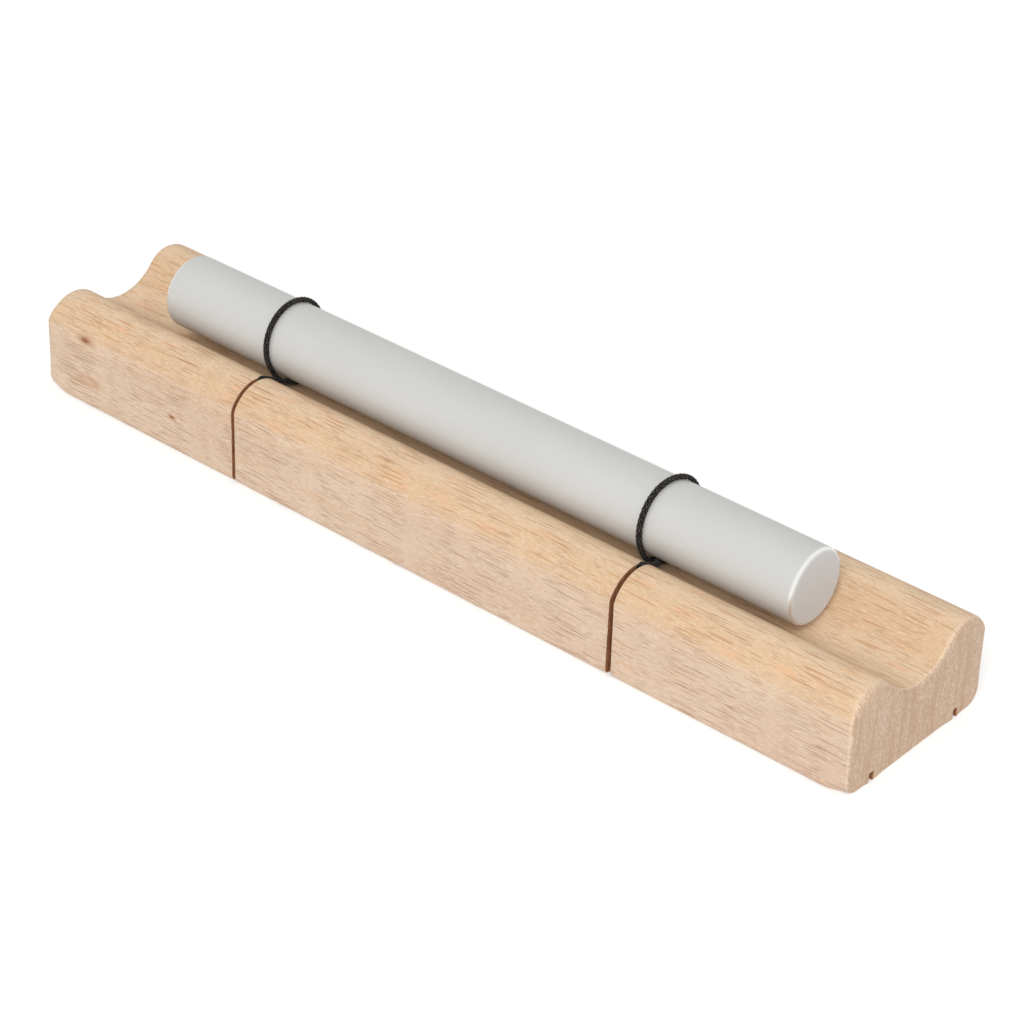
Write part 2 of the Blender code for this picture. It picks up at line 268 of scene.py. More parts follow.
beech = {
    "pale": (0.69, 0.53, 0.395),
    "pink": (0.655, 0.48, 0.36),
    "golden": (0.79, 0.575, 0.37),
    # browner tone of the slopes: partly the wood's own, partly painted shade against the light from above
    "slope": (0.64, 0.42, 0.235),
    "band": (0.63, 0.41, 0.245),
    "fibre": (0.50, 0.315, 0.195),
    "light": (0.90, 0.76, 0.61),
    "ray": (0.31, 0.155, 0.075),
    "orangeRay": (0.56, 0.30, 0.135),
    "fleck": (0.80, 0.475, 0.28),
    "endGrain": (0.62, 0.445, 0.315),
    "endDark": (0.38, 0.245, 0.155),
    # patterns: cell size along the block, across it and upright, detail, roughness
    "warpNoise": ((45 * mm, 14 * mm, 14 * mm), 2.0, 0.5),
    "wobbleNoise": ((4.0 * mm, 1.2 * mm, 1.2 * mm), 2.0, 0.5),
    "patchNoise": ((34 * mm, 10 * mm, 9 * mm), 3.0, 0.5),
    "bandNoise": ((120 * mm, 2.4 * mm, 2.4 * mm), 3.0, 0.6),
    "fibreNoise": ((1.1 * mm, 0.22 * mm, 0.22 * mm), 2.0, 0.7),
    "speckleNoise": ((40 * mm, 0.25 * mm, 0.55 * mm), 2.0, 0.7),
    "endRingNoise": ((90 * mm, 1.7 * mm, 20 * mm), 2.0, 0.6),
    "endRingTurn": (0.12, 0, 0),
    "warp": (0.0, 2.0 * mm, 2.0 * mm),
    "wobble": (1.2 * mm, 0.13 * mm, 0.13 * mm),
    "pith": (0.35, 0.30),           # lean of the rays on the third axis, on the sides and on top
    # steps: where a mask starts and ends, and its strength at both if that isn't 0 and 1
    "upward": (0.15, 0.75),
    "patches": (0.36, 0.66),
    "warmUpper": (12 * mm, 18 * mm, 0.0, 0.45),
    "goldenShare": 0.8,
    "slopeToneAndShadeFrom": (0.1, 0.5),
    "slopeToneAndShadeTo": (0.86, 1.0, 0.5, 0.0),
    "bands": (0.5, 0.78, 0.0, 0.45),
    "darkFibres": (0.50, 0.74, 0.0, 0.34),
    "lightFibres": (0.26, 0.49, 0.48, 0.0),
    "darkSpeckle": (0.48, 0.70, 0.0, 0.6),
    "lightSpeckle": (0.30, 0.48, 0.52, 0.0),
    "endRings": (0.48, 0.66, 0.0, 0.52),
    # pale rim on the sanded edges: partly worn wood, partly a painted highlight
    "rimWearAndHighlight": (0.15, 0.60, 0.0, 0.35),
    "endFace": (0.50, 0.85),
    "raggedRim": 0.8,
    # surface
    "roughness": (0.2, 0.8, 0.52, 0.66),
    "specular": 0.3,
    "fibreBump": 0.6,
    "bump": (0.035 * mm, 0.6),
}

# rays: length and width of their cells, half size as a share of a cell, share of the cells left out,
# strength on the sides and on top
rays = {
    "long": ((27 * mm, 0.56 * mm), 0.15, 0.10, 0.88, 0.68),
    "short": ((14 * mm, 0.42 * mm), 0.16, 0.10, 0.78, 0.58),
    "tiny": ((6.5 * mm, 0.34 * mm), 0.18, 0.10, 0.58, 0.48),
    "orange": ((19 * mm, 0.95 * mm), 0.20, 0.15, 0.25, 0.80),
    "fleck": ((11 * mm, 2.6 * mm), 0.30, 0.30, 0.15, 0.56),
}
rayScatter = 0.8    # how far the cells' middles stray
rayCore = 0.55      # share of a ray's half size that has its full strength
rayGrowth = 0.6     # share of the cells over which the strength grows to the full one

# marks on the wood: place, half size, strength of the dark heart and of the ring round it
blemishes = (
    ((-89.0 * mm, -20.0 * mm, 15.5 * mm), (2.3 * mm, 3.0 * mm, 0.95 * mm), 0.95, 0.65),
    ((-88.6 * mm, -20.0 * mm, 6.3 * mm), (3.0 * mm, 3.0 * mm, 1.05 * mm), 0.0, 0.70),
    ((-64.2 * mm, -20.0 * mm, 7.9 * mm), (1.2 * mm, 3.0 * mm, 0.52 * mm), 1.0, 0.6),
    ((-79.0 * mm, -11.5 * mm, 20.2 * mm), (3.6 * mm, 1.6 * mm, 3.0 * mm), 0.0, 0.4),
    ((-87.0 * mm, -0.5 * mm, 14.3 * mm), (1.0 * mm, 0.55 * mm, 3.0 * mm), 0.0, 0.4),
)
blemishLook = {
    "heart": (0.28, 0.105, 0.035),
    "ring": (0.55, 0.32, 0.20),
    "heartReach": (0.2, 0.95),
    "ringReach": (0.75, 1.7),
    "paleReach": (0.2, 0.8),    # a mark without a heart is pale in the middle
    "paleShare": 0.8,
    "raggedNoise": ((1.6 * mm, 0.5 * mm, 0.5 * mm), 2.0, 0.5),
    "ragged": 0.9,
}


def moved(tree, place, pattern, reach):
    # places moved by 0 to reach on each axis, by the three channels of a noise
    swing = tree.nodes.new("ShaderNodeVectorMath")
    swing.operation = "MULTIPLY_ADD"
    put(tree, swing.inputs[0], noiseNode(tree, place, pattern).outputs["Color"])
    put(tree, swing.inputs[1], reach)
    put(tree, swing.inputs[2], place)
    return swing.outputs[0]


def flatPlaces(tree, place, lean):
    # the grain laid flat for the sides (x, z) and for the top (x, y), each leaning a little on the third axis
    x, y, z = splitUp(tree, place)
    flats = []
    for across, other, share in ((z, y, lean[0]), (y, z, lean[1])):
        joined = tree.nodes.new("ShaderNodeCombineXYZ")
        put(tree, joined.inputs[0], x)
        put(tree, joined.inputs[1], calc(tree, "MULTIPLY_ADD", other, share, across))
        flats.append(joined.outputs[0])
    return flats


def flatCells(tree, place):
    # in the flat pattern of x and y: distance to the nearest cell's middle, and a random number for that cell
    node = tree.nodes.new("ShaderNodeTexVoronoi")
    node.voronoi_dimensions = "2D"
    node.inputs["Randomness"].default_value = rayScatter
    node.inputs["Scale"].default_value = 1.0
    put(tree, node.inputs["Vector"], place)
    chance = tree.nodes.new("ShaderNodeSeparateColor")
    tree.links.new(node.outputs["Color"], chance.inputs[0])
    return node.outputs["Distance"], chance.outputs[0]


def rayMask(tree, flats, upward, kind):
    # spindles: the middles of stretched cells, on the sides' pattern and on the top's, blended by direction
    (length, width), half, leftOut, onSides, onTop = rays[kind]
    masks = []
    for flat, strength in zip(flats, (onSides, onTop)):
        distance, chance = flatCells(tree, mapped(tree, flat, (length, width, 1.0)))
        keep = between(tree, chance, leftOut, leftOut + rayGrowth, 0.0, strength)
        masks.append(calc(tree, "MULTIPLY", between(tree, distance, half * rayCore, half, 1.0, 0.0), keep))
    return calc(tree, "MULTIPLY_ADD", calc(tree, "SUBTRACT", masks[1], masks[0]), upward, masks[0])


def addBlemish(tree, s, place, colour, blemish):
    # reach is the share of the way out from the mark's middle, 1 at its rim, made ragged
    centre, size, heart, ring = blemish
    out = lengthOf(tree, mapped(tree, place, size, [-c / length for c, length in zip(centre, size)]))
    ragged = calc(tree, "SUBTRACT", noise(tree, place, s["raggedNoise"]), 0.5)
    reach = calc(tree, "MULTIPLY_ADD", ragged, s["ragged"], out)
    colour = mixed(tree, between(tree, reach, *s["ringReach"], ring, 0.0), colour, s["ring"])
    if heart:
        return mixed(tree, between(tree, reach, *s["heartReach"], heart, 0.0), colour, s["heart"])
    pale = between(tree, reach, *s["paleReach"], ring * s["paleShare"], 0.0)
    return mixed(tree, pale, colour, beech["pink"])


def makeBeech(s):
    material, tree, shader = newMaterial("beech")
    place = objectPlace(tree)
    grain = moved(tree, place, s["warpNoise"], s["warp"])
    flats = flatPlaces(tree, moved(tree, grain, s["wobbleNoise"], s["wobble"]), s["pith"])
    direction = objectNormal(tree)
    upward = between(tree, direction[2], *s["upward"])
    lengthwise = calc(tree, "ABSOLUTE", direction[0])

    # ground colour: pale and pink patches, golden on top, and browner on its slopes, partly the wood's tone
    # and partly painted shade that takes back the light from above
    patch = between(tree, noise(tree, place, s["patchNoise"]), *s["patches"])
    colour = mixed(tree, patch, s["pale"], s["pink"])
    height = splitUp(tree, grain)[2]
    warmth = calc(tree, "MAXIMUM", between(tree, height, *s["warmUpper"]), upward)
    colour = mixed(tree, calc(tree, "MULTIPLY", warmth, s["goldenShare"]), colour, s["golden"])
    notUpright = between(tree, direction[2], *s["slopeToneAndShadeFrom"])
    notLevel = between(tree, direction[2], *s["slopeToneAndShadeTo"])
    colour = mixed(tree, calc(tree, "MULTIPLY", notUpright, notLevel), colour, s["slope"])

    # slow bands and fine fibres along the grain
    band = noise(tree, grain, s["bandNoise"])
    colour = mixed(tree, between(tree, band, *s["bands"]), colour, s["band"])
    fibre = noise(tree, grain, s["fibreNoise"])
    colour = mixed(tree, between(tree, fibre, *s["darkFibres"]), colour, s["fibre"])
    colour = mixed(tree, between(tree, fibre, *s["lightFibres"]), colour, s["light"])

    # rays: broad orange ones where the surface looks up, fine dark spindles everywhere
    colour = mixed(tree, rayMask(tree, flats, upward, "fleck"), colour, s["fleck"])
    colour = mixed(tree, rayMask(tree, flats, upward, "orange"), colour, s["orangeRay"])
    fine = rayMask(tree, flats, upward, "long")
    for kind in ("short", "tiny"):
        fine = calc(tree, "MAXIMUM", fine, rayMask(tree, flats, upward, kind))
    colour = mixed(tree, fine, colour, s["ray"])
    for blemish in blemishes:
        colour = addBlemish(tree, blemishLook, place, colour, blemish)

    # end grain: greyer, with upright rings and speckle, behind a pale rim along the sanded edges that is
    # partly worn wood and partly a painted highlight
    speckle = noise(tree, place, s["speckleNoise"])
    ring = noise(tree, place, s["endRingNoise"], s["endRingTurn"])
    endColour = mixed(tree, between(tree, speckle, *s["darkSpeckle"]), s["endGrain"], s["endDark"])
    endColour = mixed(tree, between(tree, speckle, *s["lightSpeckle"]), endColour, s["light"])
    endColour = mixed(tree, between(tree, ring, *s["endRings"]), endColour, s["fibre"])
    ragged = calc(tree, "SUBTRACT", speckle, 0.5)
    edge = calc(tree, "MULTIPLY_ADD", ragged, s["raggedRim"], lengthwise)
    colour = mixed(tree, between(tree, edge, *s["rimWearAndHighlight"]), colour, s["light"])
    colour = mixed(tree, between(tree, edge, *s["endFace"]), colour, endColour)

    put(tree, shader.inputs["Base Color"], colour)
    put(tree, shader.inputs["Roughness"], between(tree, fibre, *s["roughness"]))
    shader.inputs["Specular IOR Level"].default_value = s["specular"]
    relief = calc(tree, "SUBTRACT", calc(tree, "MULTIPLY", fibre, s["fibreBump"]), fine)
    bumped(tree, shader, relief, *s["bump"])
    return material


# Walls of the slots and grooves: dark brown, streaked up and down by the saw; in the slots partly saw burn
# and partly painted shade, in the grooves painted shade

burnAndShade = {
    "dark": (0.26, 0.10, 0.042),
    "pale": (0.46, 0.21, 0.095),
    "streakNoise": ((0.4 * mm, 0.5 * mm, 3.0 * mm), 3.0, 0.6),
    "streaks": (0.3, 0.7),
    "roughness": 0.8,
    "bump": (0.05 * mm, 0.5),
}


def makeBurnAndShade(s):
    material, tree, shader = newMaterial("burntAndShadedBeech")
    streak = noise(tree, objectPlace(tree), s["streakNoise"])
    colour = mixed(tree, between(tree, streak, *s["streaks"]), s["dark"], s["pale"])
    put(tree, shader.inputs["Base Color"], colour)
    shader.inputs["Roughness"].default_value = s["roughness"]
    bumped(tree, shader, streak, *s["bump"])
    return material


# The cord's taut line from the loops to the crests, which the notches in the wood follow too

span = {
    "crestOffset": barRadius + 5.8 * mm,
    "crestRadius": 6.2 * mm,        # of the crests' inner side
    "cordHalfThick": 0.50 * mm,
    "barGap": 0.03 * mm,
    "sunk": 0.24 * mm,
}


def spanLine(s):
    # slope of the line that touches the loop from below and, sunk a little into it, the crest from above;
    # with the loop's radius and the place (y, z) where the line leaves it at the rear
    radius = barRadius + s["barGap"] + s["cordHalfThick"]
    y, z = s["crestOffset"], barHeight - crestHeight + s["crestRadius"]
    reach = radius + s["crestRadius"] - s["sunk"]
    slope = math.asin(reach / math.hypot(y, z)) - math.atan2(z, y)
    return slope, radius, (radius * math.sin(slope), barHeight - radius * math.cos(slope))


spanSlope, loopRadius, spanLeaves = spanLine(span)


# Wood block: a closed outline carried along X, drawn in at its ends, with the slots left open and walled

block = {
    "shoulderDrop": 4.6 * mm,
    "shoulderSoft": 0.6 * mm,
    "troughDepth": 6.3 * mm,
    "bottomRadius": 1.4 * mm,
    "cornerRadius": 3.4 * mm,       # of the same edges at the block's ends
    "cornerReach": 5.0 * mm,
    "grooveWidth": 1.2 * mm,
    "grooveDepth": 2.0 * mm,
    "slotFloor": cordPlane - 0.5 * mm,
    "slotHalf": {"left": (0.41 * mm, 0.43 * mm), "right": (0.46 * mm, 0.62 * mm)},    # above and below
    "floorBevel": (0.35 * mm, 0.17 * mm),
    "notchMouth": 7.9 * mm,
    "notchBelow": 0.75 * mm,
    "lip": 0.13 * mm,
    "endRound": 0.9 * mm,
    "bottomEndRound": 0.6 * mm,
    "endRoundFrom": 1.5 * mm,
    "endRoundRise": 4.0 * mm,
    "grooveEndRound": 0.08 * mm,
    "easingPasses": 3,
    "crestWear": {-1: (1.1 * mm, 0.0), 1: (2.1 * mm, 0.5 * mm)},    # left and right end: front and rear crest
    "wearFrom": 0.76,
    "endReach": 6.0 * mm,
    "endSteps": 7,
    "approachSteps": 5,
    "capInset": 0.3 * mm,
    "stations": 88,
    "stationGap": 1.2 * mm,
    "sharpFrom": math.radians(32),
}

# points in each stretch of half the outline, from the middle of the underside to the middle of the trough
outlinePoints = {
    "underside": 14,
    "grooveInside": 4,
    "grooveRoof": 1,
    "slotFoot": 3,
    "grooveOutside": 4,
    "undersideEdge": 8,
    "lowerEdge": 8,
    "side": 22,
    "shoulder": 8,
    "outerCrest": 18,
    "innerCrest": 16,
    "upperTrough": 2,
    "openTrough": 20,
}
slotPoints = {"upright": 20, "bevel": 2, "sloping": 6}    # the same for a slot's floor


def blockHalf(s, edge):
    # half the cross-section as (y, z), with the index at which each of its stretches starts.
    # The outer crest is an arc that is level at the crest; the trough's arc runs into the inner crest's arc.
    drop, depth = s["shoulderDrop"], s["troughDepth"]
    offset, crestRadius = span["crestOffset"], span["crestRadius"]
    reach = halfWidth - offset
    outerRadius = (reach**2 + drop**2) / (2 * drop)
    outerCentre = (offset, crestHeight - outerRadius)
    shoulderAngle = math.atan2(outerRadius - drop, reach) + s["shoulderSoft"] / outerRadius
    centreDistance = (offset**2 + depth**2) / (2 * depth)
    troughRadius = centreDistance - crestRadius
    wallSlope = math.atan2(offset, centreDistance - depth)
    innerCentre = (offset, crestHeight - crestRadius)
    troughCentre = (0.0, crestHeight - depth + troughRadius)
    mouth = -math.acos(s["notchMouth"] / troughRadius)

    # the soft shoulder is a parabola whose middle handle is where the side and the crest's tangent cross
    arcStart = arcPoints(outerCentre, outerRadius, shoulderAngle, quarterTurn, 1)[0]
    handle = np.array((halfWidth, arcStart[1] - (halfWidth - arcStart[0]) / math.tan(shoulderAngle)))
    sideEnd = np.array((halfWidth, handle[1] - np.linalg.norm(arcStart - handle)))
    count = outlinePoints["shoulder"]
    t = (np.arange(count) / count)[:, None]
    shoulder = (1 - t) ** 2 * sideEnd + 2 * t * (1 - t) * handle + t**2 * arcStart

    inner, outer = cordPlane - s["grooveWidth"] / 2, cordPlane + s["grooveWidth"] / 2
    floor, roof = s["slotFloor"], s["grooveDepth"]
    lines = {
        "underside": ((0, 0), (inner, 0)),
        "grooveInside": ((inner, 0), (inner, roof)),
        "grooveRoof": ((inner, roof), (floor, roof)),
        "slotFoot": ((floor, roof), (outer, roof)),
        "grooveOutside": ((outer, roof), (outer, 0)),
        "undersideEdge": ((outer, 0), (halfWidth - edge, 0)),
        "side": ((halfWidth, edge), sideEnd),
    }
    arcs = {
        "lowerEdge": ((halfWidth - edge, edge), edge, -quarterTurn, 0),
        "outerCrest": (outerCentre, outerRadius, shoulderAngle, quarterTurn),
        "innerCrest": (innerCentre, crestRadius, quarterTurn, quarterTurn + wallSlope),
        "upperTrough": (troughCentre, troughRadius, wallSlope - quarterTurn, mouth),
        "openTrough": (troughCentre, troughRadius, mouth, -quarterTurn),
    }
    made = {name: linePoints(*line, outlinePoints[name]) for name, line in lines.items()}
    made |= {name: arcPoints(*arc, outlinePoints[name]) for name, arc in arcs.items()}
    made["shoulder"] = shoulder
    middle = np.array([(0.0, crestHeight - depth)])
    starts = dict(zip(outlinePoints, np.cumsum([0, *outlinePoints.values()])))
    return np.vstack([*(made[name] for name in outlinePoints), middle]), starts


def endRounding(s, outline, groove):
    # how far the ends' edges are rounded at each point of the outline: less below than above and hardly at
    # the groove, with a running mean that eases the change and never adds
    high = np.clip((outline[:, 1] - s["endRoundFrom"]) / s["endRoundRise"], 0, 1)
    rounding = s["bottomEndRound"] + (s["endRound"] - s["bottomEndRound"]) * high
    near = np.arange(groove[0] - 1, groove[1] + 2)
    rounding[np.concatenate([near, -near])] = s["grooveEndRound"]
    for _ in range(s["easingPasses"]):
        rounding = np.minimum(rounding, (np.roll(rounding, 1) + rounding + np.roll(rounding, -1)) / 3)
    return rounding


def blockStations(s, outline, rounding, inSlot):
    # x and inward offset of each outline point at every station, from the left end to the right end: even
    # steps along the middle, quarter rounds at the ends, where the wood is worn rounder the higher it lies,
    # and two stations with a worn lip at each wall of a slot; also the rounding of both ends
    count = len(outline)
    level = np.zeros(count)
    middleX = np.linspace(-1, 1, s["stations"]) * (halfLength - s["endReach"] - s["stationGap"])
    clear = np.all([abs(middleX - x) > s["stationGap"] for x in slotX.values()], axis=0)
    rows = [(np.full(count, x), level) for x in middleX[clear]]
    turn = np.linspace(0, quarterTurn, s["endSteps"])[:, None]
    approach = (np.arange(s["approachSteps"]) + 1)[:, None] / s["approachSteps"]
    onCrest = ease((outline[:, 1] / crestHeight - s["wearFrom"]) / (1 - s["wearFrom"]))
    roundings = {}
    for sign, wear in s["crestWear"].items():
        worn = rounding + onCrest * np.where(outline[:, 0] < 0, *wear)
        away = np.vstack([worn * (1 - np.sin(turn)), worn + (s["endReach"] - worn) * approach])
        inward = np.vstack([worn * (1 - np.cos(turn)), np.zeros((len(approach), count))])
        rows += [(sign * (halfLength - x), offset) for x, offset in zip(away, inward)]
        roundings[sign] = worn
    lipOffset = np.where(inSlot, s["lip"], 0.0)
    for end, x in slotX.items():
        top, bottom = s["slotHalf"][end]
        halfSlot = top + (bottom - top) * (1 - outline[:, 1] / crestHeight)
        for side in (-1, 1):
            rows.append((x + side * halfSlot, lipOffset))
            rows.append((x + side * (halfSlot + s["lip"]), level))
    rows.sort(key=lambda row: row[0][0])
    xs, offsets = (np.array(part) for part in zip(*rows))
    return xs, offsets, roundings


def slotFloorPath(s, begin, finish):
    # the floor between two points of the skin: upright from the groove, then under the cord to the trough
    if abs(begin[1]) < abs(finish[1]):
        return slotFloorPath(s, finish, begin)[::-1]
    bevelIn, bevelUp = s["floorBevel"]
    inner = s["slotFloor"] - bevelIn
    turn = spanLeaves[1] + (inner - spanLeaves[0]) * math.tan(spanSlope) - s["notchBelow"]
    low, high = (s["slotFloor"], turn - bevelUp), (inner, turn)
    foot, mouth = (abs(begin[1]), begin[2]), (abs(finish[1]), finish[2])
    path = np.vstack([
        linePoints(foot, low, slotPoints["upright"])[1:],
        linePoints(low, high, slotPoints["bevel"]),
        linePoints(high, mouth, slotPoints["sloping"]),
    ])
    x = np.interp(path[:, 1], (foot[1], mouth[1]), (begin[0], finish[0]))
    return np.column_stack([x, math.copysign(1.0, begin[1]) * path[:, 0], path[:, 1]])


def makeBlock(s):
    half, starts = blockHalf(s, s["bottomRadius"])
    rounded, _ = blockHalf(s, s["cornerRadius"])
    outline, endOutline = (np.vstack([part, (part * (-1, 1))[-2:0:-1]]) for part in (half, rounded))
    count = len(outline)
    slotStart, slotEnd = starts["slotFoot"], starts["openTrough"]
    groove = starts["grooveInside"], starts["undersideEdge"]
    inSlot = np.zeros(count, bool)
    inSlot[slotStart + 1 : slotEnd] = True
    inSlot |= np.roll(inSlot[::-1], 1)

    # skin: the outline at every station, its lower edges rounded more and more towards the ends,
    # moved in by the offsets against the outline's outward direction
    tangent = np.roll(outline, -1, axis=0) - np.roll(outline, 1, axis=0)
    outward = np.stack([tangent[:, 1], -tangent[:, 0]], axis=1)
    outward /= np.linalg.norm(outward, axis=1)[:, None]
    xs, offsets, roundings = blockStations(s, outline, endRounding(s, outline, groove), inSlot)
    rounder = ease((abs(xs) - halfLength + s["cornerReach"]) / s["cornerReach"])[..., None]
    section = outline + (endOutline - outline) * rounder - outward * offsets[..., None]
    skin = np.concatenate([xs[..., None], section], axis=-1)
    points = [skin.reshape(-1, 3)]
    size = len(points[0])
    quads = tubeFaces(len(xs), count).reshape(len(xs) - 1, count, 4)
    keep = np.ones((len(xs) - 1, count), bool)
    plain = []
    burntAndShaded = []

    # end faces: a flat ring drawn in from the rim, then one face
    for station, order in ((0, 1), (len(xs) - 1, -1)):
        inset = np.minimum(s["capInset"], 2 * roundings[-order])
        ring = skin[station].copy()
        ring[:, 1:] -= outward * inset[:, None]
        rim = station * count + np.arange(count)
        inside = size + np.arange(count)
        band = np.stack([rim, inside, np.roll(inside, -1), np.roll(rim, -1)], axis=1)[:, ::order]
        plain += band.tolist() + [inside[::-order].tolist()]
        points.append(ring)
        size += count

    # slots: between two stations the outline is open, and a floor and two walls close it
    for x in slotX.values():
        first = int(np.searchsorted(xs[:, 0], x)) - 1
        for begin, finish, face in ((slotStart, slotEnd, 1), (count - slotEnd, count - slotStart, -1)):
            keep[first, begin:finish] = False
            floors = []
            for station in (first, first + 1):
                path = slotFloorPath(s, skin[station, begin], skin[station, finish])
                index = [station * count + begin, *range(size, size + len(path)), station * count + finish]
                floors.append(np.array(index))
                points.append(path)
                size += len(path)
            left, right = floors
            # the slot's floor and walls get the dark colour: saw burn and painted shade
            strip = np.stack([left[:-1], left[1:], right[1:], right[:-1]], axis=1)[:, ::face]
            burntAndShaded += strip.tolist()
            lip = np.arange(begin, finish + 1)
            burntAndShaded.append([*(first * count + lip), *left[-2:0:-1]])
            burntAndShaded.append([*((first + 1) * count + lip), *right[-2:0:-1]][::-1])

    # the saw-cut grooves get the slots' dark colour inside, as painted shade
    inGroove = np.zeros(count, bool)
    inGroove[groove[0] : groove[1]] = True
    inGroove |= inGroove[::-1]
    faces = quads[keep & ~inGroove].tolist() + plain
    burntAndShaded += quads[keep & inGroove].tolist()
    obj = newPiece("woodBlock", np.vstack(points), faces + burntAndShaded)
    isBurntOrShaded = np.arange(len(obj.data.polygons)) >= len(faces)
    obj.data.polygons.foreach_set("material_index", isBurntOrShaded.astype(np.int32))
    return obj


pocket = {
    "radius": 2.1 * mm,
    "depth": 3.1 * mm,
    "startsBelow": 1 * mm,
    "sides": 64,
}


def drillPocket(obj, s):
    # the knot's pocket: a round hole from below, cut out of the rear groove
    angle = circleAngles(s["sides"])
    rim = np.stack([np.cos(angle), np.sin(angle)], axis=1) * s["radius"] + (0, cordPlane)
    levels = (-s["startsBelow"], s["depth"])
    points = np.vstack([np.column_stack([rim, np.full(len(rim), z)]) for z in levels])
    drill = newPiece("pocketDrill", points, cappedTube(2, len(rim)))
    cut = obj.modifiers.new("knotPocket", "BOOLEAN")
    cut.operation = "DIFFERENCE"
    cut.object = drill
    evaluated = obj.evaluated_get(bpy.context.evaluated_depsgraph_get())
    mesh = bpy.data.meshes.new_from_object(evaluated)
    obj.modifiers.remove(cut)
    obj.data = mesh
    bpy.data.objects.remove(drill)


woodBlock = makeBlock(block)
woodBlock.data.materials.append(makeBeech(beech))
woodBlock.data.materials.append(makeBurnAndShade(burnAndShade))
drillPocket(woodBlock, pocket)
shadeSmooth(woodBlock, block["sharpFrom"])
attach(woodBlock, "base")
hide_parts("wood_base")
print(f"wood block: {len(woodBlock.data.polygons)} faces")


# Chime bar: a turned profile, with a rounded edge at each end and a flat turned face

bar = {
    "edgeRound": 0.95 * mm,
    "edgeSteps": 9,
    "sides": 160,
    "stations": 40,
    "faceRings": (0.12, 0.4, 0.7, 0.97),
    "sharpFrom": math.radians(40),
}


def makeBar(s):
    # (distance along X, radius): face rings, a quarter-round edge, the long side, and the same again mirrored
    radius, edge = barRadius, s["edgeRound"]
    turn = np.linspace(0, quarterTurn, s["edgeSteps"])
    faceRadius = np.array(s["faceRings"]) * (radius - edge)
    start = np.column_stack([np.full(len(faceRadius), barLow.x), faceRadius])
    corner = np.column_stack([barLow.x + edge * (1 - np.cos(turn)), radius - edge + edge * np.sin(turn)])
    side = linePoints((barLow.x + edge, radius), (barHigh.x - edge, radius), s["stations"])[1:]
    finish = np.vstack([start, corner])[::-1] * (-1, 1) + (barLow.x + barHigh.x, 0)
    profile = np.vstack([start, corner, side, finish])
    angle = circleAngles(s["sides"])
    points = np.stack(np.broadcast_arrays(
        profile[:, None, 0],
        profile[:, None, 1] * np.cos(angle),
        barHeight + profile[:, None, 1] * np.sin(angle),
    ), axis=-1)
    return newPiece("chimeBar", points, cappedTube(len(profile), s["sides"]))


# Satin aluminium: faintly streaked and clouded, with turning marks on the end faces and a smoother, more
# metallic broken edge painted pale as a highlight

aluminium = {
    "colour": (0.604, 0.600, 0.580),
    "cloudColour": (0.584, 0.580, 0.560),
    "faceColour": (0.616, 0.632, 0.644),
    # painted highlight on the broken edge
    "edgeHighlightColour": (0.84, 0.84, 0.83),
    "streakNoise": ((60 * mm, 0.22 * mm, 0.22 * mm), 2.0, 0.6),
    "cloudNoise": ((22 * mm, 8 * mm, 8 * mm), 2.0, 0.5),
    "clouds": (0.3, 0.7),
    "face": (0.9, 0.99),
    "edgeFrom": (0.15, 0.45),
    "edgeTo": (0.75, 0.97, 1.0, 0.0),
    "metallic": (0.08, 0.75),       # of the side and of the edge
    "roughness": (0.25, 0.75, 0.42, 0.51),
    "edgeRougher": -0.12,
    "turningPitch": 0.16 * mm,
    "turningLeftOut": 1e6,          # a cell so long that the place along X doesn't count
    "turningBump": 0.5,
    "streakBump": 0.5,
    "bump": (0.0025 * mm, 0.5),
}


def makeAluminium(s):
    material, tree, shader = newMaterial("satinAluminium")
    place = objectPlace(tree)
    streak = noise(tree, place, s["streakNoise"])
    cloud = noise(tree, place, s["cloudNoise"])
    lengthwise = calc(tree, "ABSOLUTE", objectNormal(tree)[0])
    face = between(tree, lengthwise, *s["face"])
    offSide, offFace = (between(tree, lengthwise, *s[name]) for name in ("edgeFrom", "edgeTo"))
    edge = calc(tree, "MULTIPLY", offSide, offFace)

    # turning marks: rings about the bar's axis, only on the end faces
    pitch = s["turningPitch"]
    cell = (s["turningLeftOut"], pitch, pitch)
    rings = lengthOf(tree, mapped(tree, place, cell, (0, 0, -barHeight / pitch)))
    rings = calc(tree, "SINE", calc(tree, "MULTIPLY", rings, fullTurn))
    rings = calc(tree, "MULTIPLY", calc(tree, "MULTIPLY", rings, s["turningBump"]), face)

    # the broken edge between the side and the end face is smoother and more metallic, and brighter by a
    # painted highlight in its colour
    colour = mixed(tree, between(tree, cloud, *s["clouds"]), s["colour"], s["cloudColour"])
    colour = mixed(tree, face, colour, s["faceColour"])
    put(tree, shader.inputs["Base Color"], mixed(tree, edge, colour, s["edgeHighlightColour"]))
    put(tree, shader.inputs["Metallic"], between(tree, edge, 0.0, 1.0, *s["metallic"]))
    rough = between(tree, streak, *s["roughness"])
    put(tree, shader.inputs["Roughness"], calc(tree, "MULTIPLY_ADD", edge, s["edgeRougher"], rough))
    bumped(tree, shader, calc(tree, "MULTIPLY_ADD", streak, s["streakBump"], rings), *s["bump"])
    return material


chimeBar = makeBar(bar)
shadeSmooth(chimeBar, bar["sharpFrom"])
chimeBar.data.materials.append(makeAluminium(aluminium))
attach(chimeBar, "bar")
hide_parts("chime_bar")
print(f"chime bar: {len(chimeBar.data.polygons)} faces")


# Elastic cord: one closed ring, cut into the stretches that move with the block, the loops and between them

